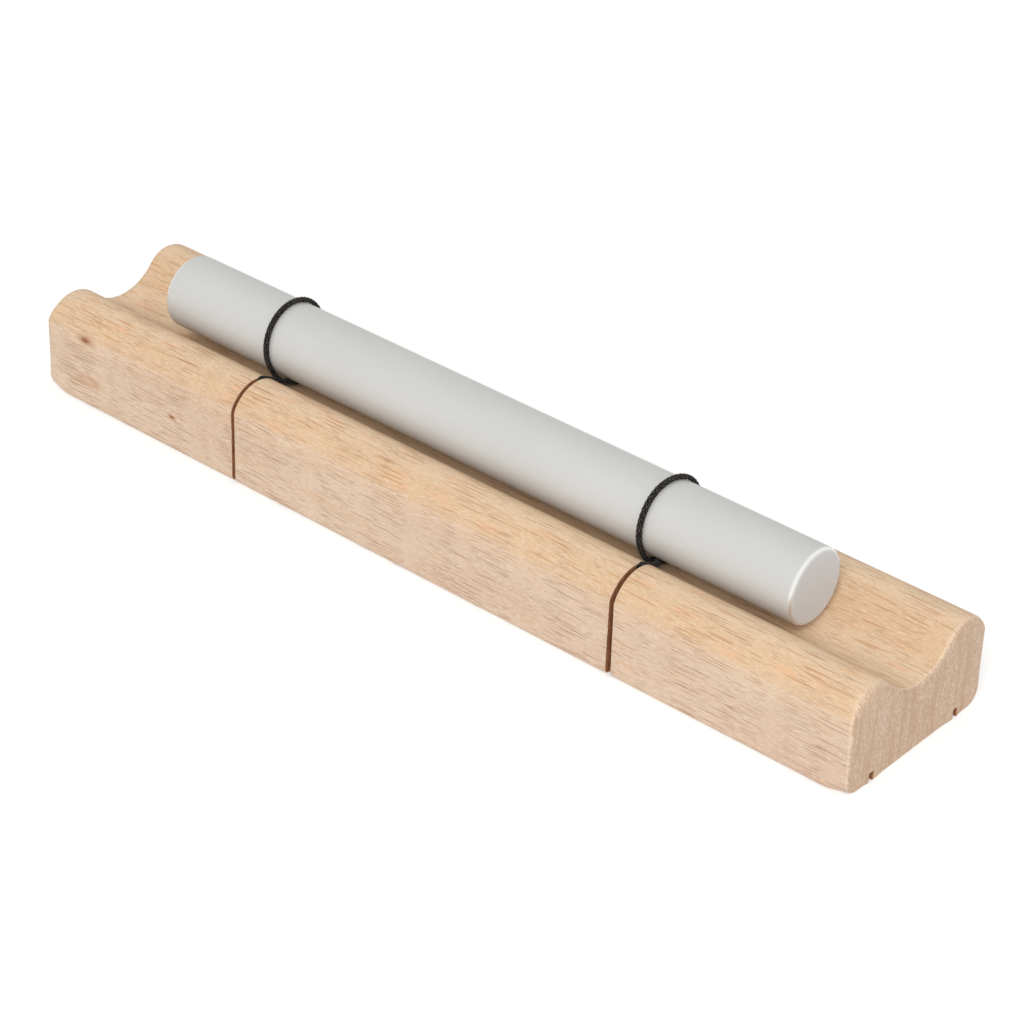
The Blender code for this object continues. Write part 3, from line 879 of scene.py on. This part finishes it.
cord = {
    # half width and half thickness: free, in the slots, in the notches, in the grooves
    "free": (0.605 * mm, span["cordHalfThick"]),
    "inSlot": (0.37 * mm, 0.47 * mm),
    "inNotch": (0.46 * mm, 0.52 * mm),
    "inGroove": (0.55 * mm, 0.50 * mm),
    # course of the loops
    "strandStep": 1.65 * mm,
    "stepStarts": math.radians(-10),
    "fall": (math.radians(50), math.radians(120)),
    "rearShift": {"left": 3.15 * mm, "right": 3.0 * mm},
    "topShift": {"left": 3.15 * mm, "right": 3.9 * mm},
    "frontShift": {"left": 1.45 * mm, "right": 3.9 * mm},
    "shiftedAt": {"left": math.radians(175), "right": math.radians(225)},
    "bulge": (0.45 * mm, math.radians(325), math.radians(18)),    # size, middle and width
    "loopPoints": 400,
    # course of the spans and runs
    "lean": {"left": 0.0, "right": 2.3 * mm},
    "bendRadius": 0.75 * mm,
    "bendPoints": 40,
    "straightPoints": 24,
    "swellFrom": 8.4 * mm,
    "swellTo": 6.6 * mm,
    "grooveBend": 0.6 * mm,
    "grooveBendPoints": 16,
    "grooveHeight": 1.4 * mm,
    "knotEnd": 1.2 * mm,
    # braid
    "step": 0.085 * mm,
    "around": 36,
    "carriers": 6,
    "cell": 1.1 * mm,
    "strandLong": 0.35,
    "relief": 0.13 * mm,
    "reliefLevel": 0.75,            # the strand height that lies on the plain section
}


def loopRoute(s, end):
    # once round the bar from the front span to the rear span: the angle is 0 under the bar and grows to the
    # rear. The cord comes in leaning to -X, steps to +X under the bar, falls back to -X up the rear, goes on
    # over the top and down the front and comes home under the bar again.
    slope, count = spanSlope, s["loopPoints"]
    angle = np.linspace(-slope, fullTurn + slope, count)
    rear, top, front = (s[name][end] for name in ("rearShift", "topShift", "frontShift"))
    shifted = s["shiftedAt"][end]
    stepStarts, (fallStarts, fallEnds) = s["stepStarts"], s["fall"]
    shift = s["strandStep"] * ease((angle - stepStarts) / (slope - stepStarts))
    shift -= s["lean"][end] * (1 - ease((angle + slope) / (2 * slope)))
    shift -= (s["strandStep"] + rear) * ease((angle - fallStarts) / (fallEnds - fallStarts))
    shift -= (top - rear) * ease((angle - fallEnds) / (shifted - fallEnds))
    shift += (top - front) * np.clip((angle - shifted) / (fullTurn - slope - shifted), 0, 1) ** 2
    shift += front * ease((angle - fullTurn - stepStarts) / (slope - stepStarts))
    # where it comes down the front for the second time the cord stands off the bar a little
    size, middle, width = s["bulge"]
    radius = loopRadius + size * np.exp(-(((angle - middle) / width) ** 2))
    inward = np.column_stack([np.zeros(count), -np.sin(angle), np.cos(angle)])
    axis = np.column_stack([slotX[end] + shift, np.zeros(count), np.full(count, barHeight)])
    return axis - radius[:, None] * inward, inward, np.tile(s["free"], (count, 1))


def spanRoute(s, end, side):
    # up the slot, round its upper end and down the taut line to the loop, in the plane of the slot up to the
    # notch's mouth, from where a front span may lean to -X. Squeezed tall and narrow in the notch, the cord
    # swells to its full size below it. side is -1 for the front.
    slope, leaves, bend = spanSlope, spanLeaves, s["bendRadius"]
    bendY = cordPlane - bend
    bendZ = leaves[1] + (bendY - leaves[0]) * math.tan(slope) - bend / math.cos(slope)
    turn = np.linspace(0, quarterTurn + slope, s["bendPoints"])
    arc = np.column_stack([bendY + bend * np.cos(turn), bendZ + bend * np.sin(turn)])
    upright = np.array([(cordPlane, slotTop), (cordPlane, (slotTop + bendZ) / 2)])
    straight = np.vstack([linePoints(arc[-1], leaves, s["straightPoints"])[1:], leaves])
    inPlane = np.vstack([upright, arc, straight])
    angle = np.concatenate([np.zeros(len(upright)), turn, np.full(len(straight), turn[-1])])
    lean = s["lean"][end] if side < 0 else 0.0
    mouth = block["notchMouth"]
    x = slotX[end] - lean * ease((mouth - inPlane[:, 0]) / (mouth - leaves[0]))
    points = np.column_stack([x, side * inPlane[:, 0], inPlane[:, 1]])
    normals = np.column_stack([np.zeros(len(angle)), side * np.cos(angle), np.sin(angle)])
    taller = ease(angle / quarterTurn)[:, None]
    swell = ease((s["swellFrom"] - inPlane[:, 0]) / (s["swellFrom"] - s["swellTo"]))[:, None]
    inSlot, inNotch, free = (np.array(s[name]) for name in ("inSlot", "inNotch", "free"))
    squeezed = inSlot + (inNotch - inSlot) * taller
    return points, normals, squeezed + (free - squeezed) * swell


def runRoute(s, end, side, stop):
    # along the groove from x = stop to the slot, round the corner and up the slot, in the plane of the cord
    sign = 1 if end == "right" else -1
    bend, height = s["grooveBend"], s["grooveHeight"]
    turn = np.linspace(-quarterTurn, 0, s["grooveBendPoints"])
    x = slotX[end] - sign * bend + sign * bend * np.cos(turn)
    z = height + bend + bend * np.sin(turn)
    path = np.vstack([(stop, height), np.column_stack([x, z]), (slotX[end], slotTop)])
    points = np.column_stack([path[:, 0], np.full(len(path), side * cordPlane), path[:, 1]])
    normals = np.tile((0.0, side, 0.0), (len(path), 1))
    share = np.concatenate([(0.0,), ease((turn + quarterTurn) / quarterTurn), (1.0,)])[:, None]
    inGroove, inSlot = np.array(s["inGroove"]), np.array(s["inSlot"])
    return points, normals, inGroove + (inSlot - inGroove) * share


def reverse(route):
    return tuple(part[::-1] for part in route)


def cordStretches(s):
    # the ring in order, from the knot to the right, round by the front and back to the knot from the left
    frontRun = reverse(runRoute(s, "right", -1, 0.0)), runRoute(s, "left", -1, 0.0)
    yield "rearRightCordRun", runRoute(s, "right", 1, s["knotEnd"])
    yield "rightRearCordSpan", spanRoute(s, "right", 1)
    yield "rightCordLoop", reverse(loopRoute(s, "right"))
    yield "rightFrontCordSpan", reverse(spanRoute(s, "right", -1))
    yield "frontCordRun", tuple(np.vstack([a, b[1:]]) for a, b in zip(*frontRun))
    yield "leftFrontCordSpan", spanRoute(s, "left", -1)
    yield "leftCordLoop", loopRoute(s, "left")
    yield "leftRearCordSpan", reverse(spanRoute(s, "left", 1))
    yield "rearLeftCordRun", reverse(runRoute(s, "left", 1, -s["knotEnd"]))


def braidHeight(s, length, angle):
    # two sets of strands wind opposite ways; in a checkerboard of cells one set or the other lies on top,
    # and its strand is round across, a half wave, and long along its own way, a low power of one
    around = s["carriers"] * angle / fullTurn
    first, second = around + length / s["cell"], around - length / s["cell"]
    row, column = np.floor(first), np.floor(second)
    across = np.cos(math.pi * (first - row - 0.5))
    along = np.cos(math.pi * (second - column - 0.5))
    even = (row + column) % 2 == 0
    return np.where(even, across * along ** s["strandLong"], along * across ** s["strandLong"])


def makeTube(name, s, route, startLength):
    # rings of the flattened section carried along the route, each point moved out by the braid's height
    points, normals, sizes = route
    travelled = np.concatenate([(0,), np.cumsum(np.linalg.norm(np.diff(points, axis=0), axis=1))])
    count = math.ceil(travelled[-1] / s["step"]) + 1
    at = np.linspace(0, travelled[-1], count)

    def along(values):
        return np.column_stack([np.interp(at, travelled, column) for column in values.T])

    centre, normal, size = along(points), along(normals), along(sizes)
    tangent = np.gradient(centre, axis=0)
    tangent /= np.linalg.norm(tangent, axis=1)[:, None]
    wide = np.cross(normal, tangent)
    wide /= np.linalg.norm(wide, axis=1)[:, None]
    thick = np.cross(tangent, wide)
    angle = circleAngles(s["around"])
    height = braidHeight(s, (startLength + at)[:, None], angle[None, :])
    lift = s["relief"] * (height - s["reliefLevel"])
    wideOut = (size[:, :1] + lift) * np.cos(angle)
    thickOut = (size[:, 1:] + lift) * np.sin(angle)
    grid = centre[:, None] + wide[:, None] * wideOut[..., None] + thick[:, None] * thickOut[..., None]
    obj = newPiece(name, grid, cappedTube(count, s["around"]))
    strand = obj.data.attributes.new("strandHeight", "FLOAT", "POINT")
    strand.data.foreach_set("value", height.astype(np.float32).ravel())
    obj.data.shade_smooth()
    return obj, travelled[-1]


# Matte black yarn: painted shade in the hollows of the braid and a painted highlight on its raised strands,
# with a fine fibre bump

yarn = {
    "shadedHollow": (0.003, 0.0027, 0.0025),
    "litRaised": (0.106, 0.093, 0.083),
    "fuzzNoise": ((0.34 * mm, 0.34 * mm, 0.34 * mm), 3.0, 0.7),
    "fuzz": (0.3, 0.7, 0.25, 1.3),
    "strands": (0.25, 1.0),
    "roughness": 0.6,
    "specular": 0.1,
    "sheen": 0.06,
    "sheenRoughness": 0.5,
    "bump": (0.03 * mm, 0.5),
}


def makeBraid(s):
    material, tree, shader = newMaterial("blackBraid")
    strand = tree.nodes.new("ShaderNodeAttribute")
    strand.attribute_name = "strandHeight"
    fuzz = noise(tree, objectPlace(tree), s["fuzzNoise"])
    height = calc(tree, "MULTIPLY", strand.outputs["Fac"], between(tree, fuzz, *s["fuzz"]))
    # painted shade in the braid's hollows, painted highlight on its raised strands
    colour = mixed(tree, between(tree, height, *s["strands"]), s["shadedHollow"], s["litRaised"])
    put(tree, shader.inputs["Base Color"], colour)
    shader.inputs["Roughness"].default_value = s["roughness"]
    shader.inputs["Specular IOR Level"].default_value = s["specular"]
    shader.inputs["Sheen Weight"].default_value = s["sheen"]
    shader.inputs["Sheen Roughness"].default_value = s["sheenRoughness"]
    bumped(tree, shader, fuzz, *s["bump"])
    return material


# the solid that each stretch stands in for
cordNodes = {
    "rearRightCordRun": "rear_right_cord_run",
    "rightRearCordSpan": "right_rear_cord_span",
    "rightCordLoop": "right_cord_loop",
    "rightFrontCordSpan": "right_front_cord_span",
    "frontCordRun": "front_cord_run",
    "leftFrontCordSpan": "left_front_cord_span",
    "leftCordLoop": "left_cord_loop",
    "leftRearCordSpan": "left_rear_cord_span",
    "rearLeftCordRun": "rear_left_cord_run",
}


def makeCord(s, material):
    total = 0.0
    for name, route in cordStretches(s):
        obj, length = makeTube(name, s, route, total)
        total += length
        obj.data.materials.append(material)
        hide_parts(cordNodes[name])
        if name.endswith("Loop"):
            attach(obj, "cord_loops")
        elif name.endswith("Span"):
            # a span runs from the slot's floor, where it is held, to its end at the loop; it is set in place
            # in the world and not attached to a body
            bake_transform(obj)
        else:
            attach(obj, "base")
    print(f"elastic cord: {total / mm:.0f} mm in the ring without its knot")


# Knot: the wraps of a barrel knot round the cord's two ends

knot = {
    "turns": 2.6,
    "pitch": 0.92 * mm,
    "radius": 0.80 * mm,
    "half": 0.44 * mm,
    "tuckLength": 0.08,
    "tuckedRadius": 0.35,
    "points": 160,
}


def makeKnot(s, material):
    # a helix about the groove's line whose ends curl in towards it
    count, tucked = s["points"], s["tuckedRadius"]
    share = np.linspace(0, 1, count)
    angle = fullTurn * s["turns"] * (share - 0.5)
    out = ease(share / s["tuckLength"]) * ease((1 - share) / s["tuckLength"])
    radius = s["radius"] * (tucked + (1 - tucked) * out)
    normal = np.column_stack([np.zeros(count), np.cos(angle), np.sin(angle)])
    middle = np.column_stack([
        s["turns"] * s["pitch"] * (share - 0.5),
        np.full(count, cordPlane),
        np.full(count, cord["grooveHeight"]),
    ])
    points = middle + normal * radius[:, None]
    obj, _ = makeTube("cordKnot", cord, (points, normal, np.full((count, 2), s["half"])), 0.0)
    obj.data.materials.append(material)
    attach(obj, "base")
    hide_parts("cord_knot")
    print("knot: in its pocket")


braid = makeBraid(yarn)
makeCord(cord, braid)
makeKnot(knot, braid)


# Studio: a pale floor, a white surround and one large soft lamp

studio = {
    "floorHalf": 3.0,
    "floorColour": (0.90, 0.90, 0.90),
    "floorRoughness": 0.9,
    "floorGlow": 0.25,
    "surround": 0.63,
    "keyPower": 15.5,
    "keySize": 0.9,
    "keyPlace": (0.70, -1.12, 1.08),
}


def lookedAt(tree):
    # 1 for what is seen straight, mirrored or through glass, where the background should read as white
    path = tree.nodes.new("ShaderNodeLightPath")
    seen = calc(tree, "MAXIMUM", path.outputs["Is Camera Ray"], path.outputs["Is Glossy Ray"])
    return calc(tree, "MAXIMUM", seen, path.outputs["Is Transmission Ray"])


def makeFloor(s):
    half = s["floorHalf"]
    corners = [(-half, -half, 0), (half, -half, 0), (half, half, 0), (-half, half, 0)]
    obj = newPiece("studioFloor", corners, [(0, 1, 2, 3)])
    material, tree, shader = newMaterial("paleFloor")
    shader.inputs["Base Color"].default_value = (*s["floorColour"], 1.0)
    shader.inputs["Roughness"].default_value = s["floorRoughness"]
    shader.inputs["Specular IOR Level"].default_value = 0.0
    shader.inputs["Emission Color"].default_value = (1, 1, 1, 1)
    put(tree, shader.inputs["Emission Strength"], calc(tree, "MULTIPLY", lookedAt(tree), s["floorGlow"]))
    obj.data.materials.append(material)


def makeSurround(s):
    world = bpy.data.worlds.new("studioSurround")
    bpy.context.scene.world = world
    world.use_nodes = True
    tree = world.node_tree
    ground = tree.nodes["Background"]
    ground.inputs["Color"].default_value = (1, 1, 1, 1)
    put(tree, ground.inputs["Strength"], between(tree, lookedAt(tree), 0.0, 1.0, s["surround"], 1.0))


def makeLamp(name, place, size, power):
    data = bpy.data.lights.new(name, "AREA")
    data.shape = "DISK"
    data.size = size
    data.energy = power
    obj = bpy.data.objects.new(name, data)
    obj.location = place
    obj.rotation_euler = (-Vector(place)).to_track_quat("-Z", "Y").to_euler()
    obj.visible_glossy = False
    bpy.context.scene.collection.objects.link(obj)


makeFloor(studio)
makeSurround(studio)
makeLamp("keyLamp", studio["keyPlace"], studio["keySize"], studio["keyPower"])
bpy.context.scene.view_settings.view_transform = "Standard"
print("studio: floor, surround and lamp")
